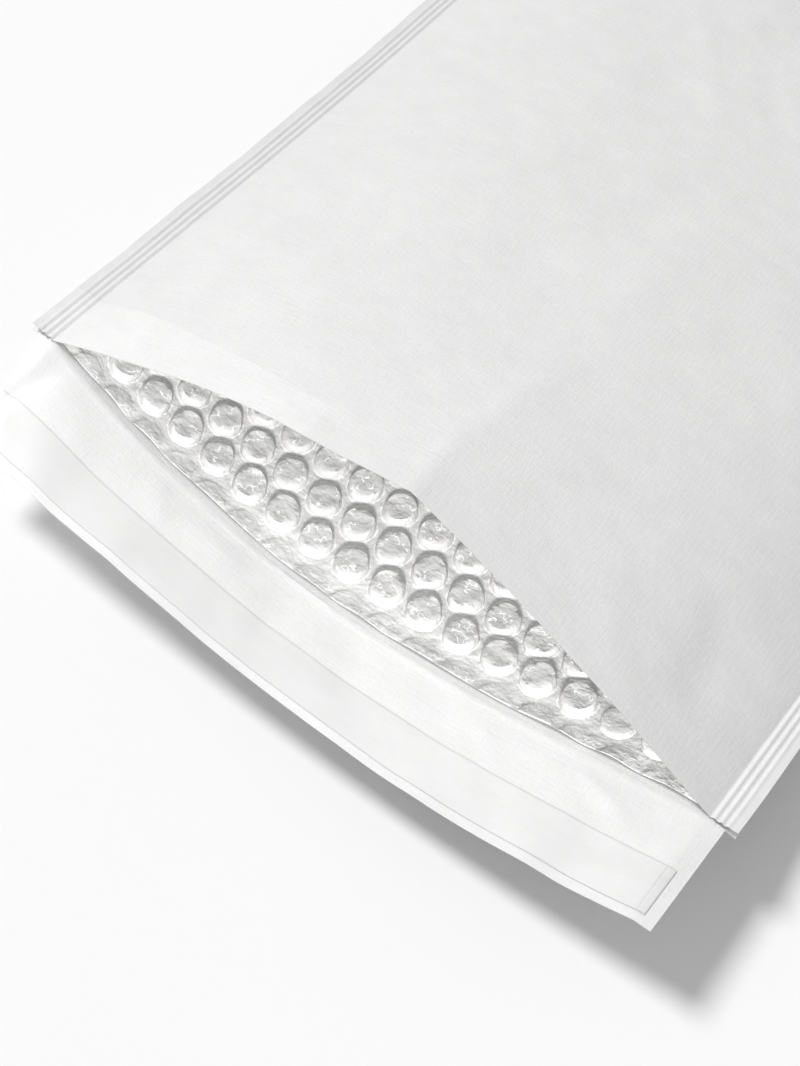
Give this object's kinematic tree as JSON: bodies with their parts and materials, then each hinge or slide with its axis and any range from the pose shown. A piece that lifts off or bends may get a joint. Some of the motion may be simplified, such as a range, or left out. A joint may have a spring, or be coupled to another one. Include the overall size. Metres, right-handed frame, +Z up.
{
  "type": "padded envelope",
  "caption": "Open padded paper envelope lying on its back, with crimped side seams, a lining of air-bubble film, and a fold-over flap carrying a peel-off seal strip.",
  "frame": {"origin": "on the table, under the centre of the envelope's box as it lies", "axes": "+Y along the envelope from the flap towards the bottom fold, +X across the mouth to the right as seen from the flap, +Z up"},
  "size_m": [0.2394, 0.3878, 0.0553],
  "materials": {
    "white_paper": "satin white kraft paper, softly creased",
    "bubble_film": "clear glossy film with flat-topped air bubbles",
    "adhesive": "tacky pale hot-melt band",
    "release_paper": "smooth siliconed paper"
  },
  "bodies": {
    "root": {"outer_paper": "white_paper", "bubble_liner": "bubble_film", "adhesive_band": "adhesive", "release_strip": "release_paper"}
  },
  "joints": []
}
